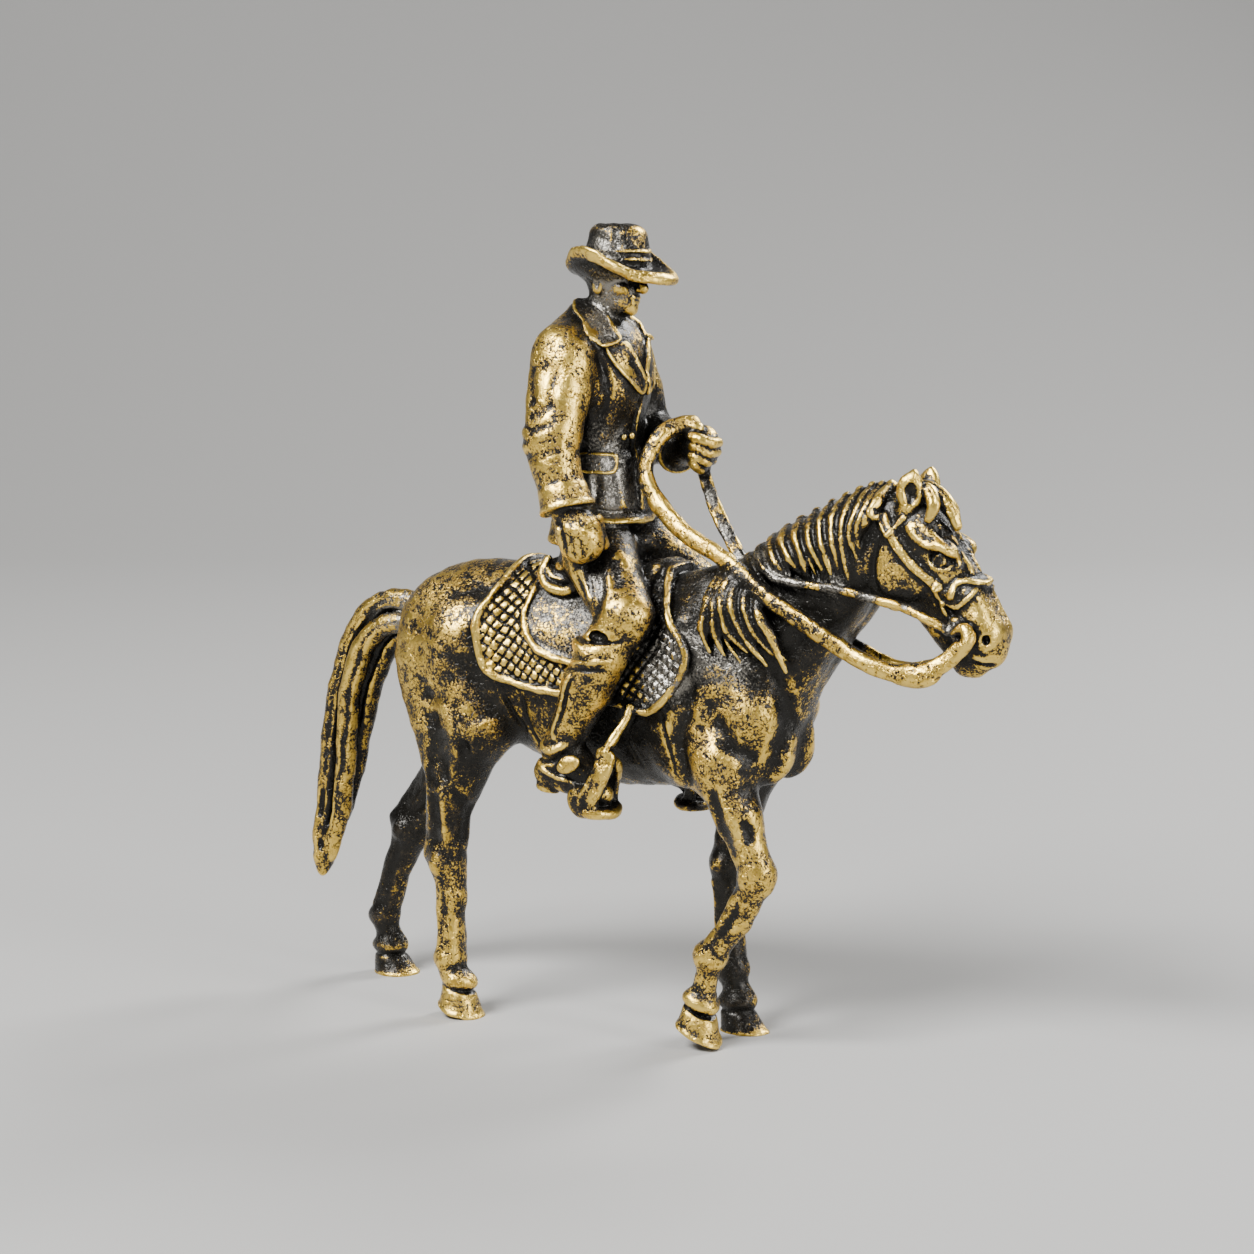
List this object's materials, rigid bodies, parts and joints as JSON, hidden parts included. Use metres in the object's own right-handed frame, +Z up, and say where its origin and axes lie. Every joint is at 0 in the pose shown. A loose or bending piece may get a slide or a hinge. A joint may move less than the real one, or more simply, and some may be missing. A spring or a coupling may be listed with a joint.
{
  "type": "equestrian statuette",
  "caption": "Cast brass statuette of a walking horse and its rider in a brimmed hat and jacket, with a pad saddle and a looping rein, standing on its hooves.",
  "frame": {"origin": "middle of the bounding box, on the ground under the hooves", "axes": "+Z up, +X the way the horse walks, -Y the horse's right side, where the mane and the loose rein fall"},
  "size_m": [0.0578, 0.0174, 0.0585],
  "materials": {
    "brass": "antiqued: polished high places over a dark brown to black patina"
  },
  "bodies": {
    "root": {"horse_and_rider": "brass"}
  },
  "joints": []
}
